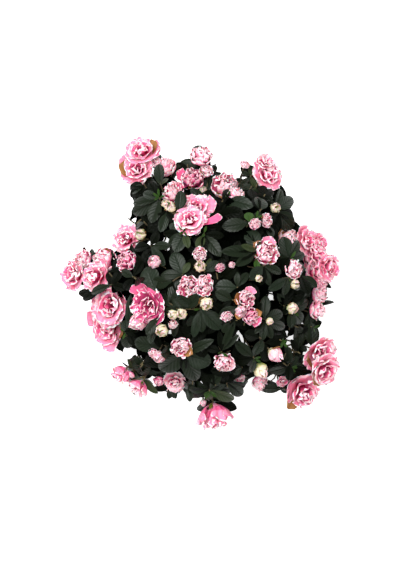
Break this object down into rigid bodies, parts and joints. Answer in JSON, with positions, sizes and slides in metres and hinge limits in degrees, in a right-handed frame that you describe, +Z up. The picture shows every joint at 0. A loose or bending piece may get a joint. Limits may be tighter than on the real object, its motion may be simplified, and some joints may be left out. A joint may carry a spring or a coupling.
{
  "type": "azalea shrub",
  "caption": "Low domed azalea shrub with a short flared stem, spreading boughs and masses of leaves with double blossoms and buds.",
  "frame": {"origin": "centre of the flat cut under the trunk, at ground level", "axes": "+Z up; +Y towards the top edge of a view from straight above and +X towards its right edge"},
  "size_m": [0.343, 0.3683, 0.2469],
  "materials": {
    "bark": "dull grey-brown bark with fine lengthwise cracks",
    "foliage": "satin blackish green leaves; double pink blossoms with white margins"
  },
  "bodies": {
    "root": {"trunk": "bark", "bough_east": "bark", "bough_north_east": "bark", "bough_north_west": "bark", "bough_west": "bark", "bough_south_west": "bark", "bough_south": "bark", "bough_south_east": "bark", "bough_top": "bark", "foliage_east": "foliage", "foliage_north_east": "foliage", "foliage_north_west": "foliage", "foliage_west": "foliage", "foliage_south_west": "foliage", "foliage_south": "foliage", "foliage_south_east": "foliage", "foliage_top": "foliage"}
  },
  "joints": []
}
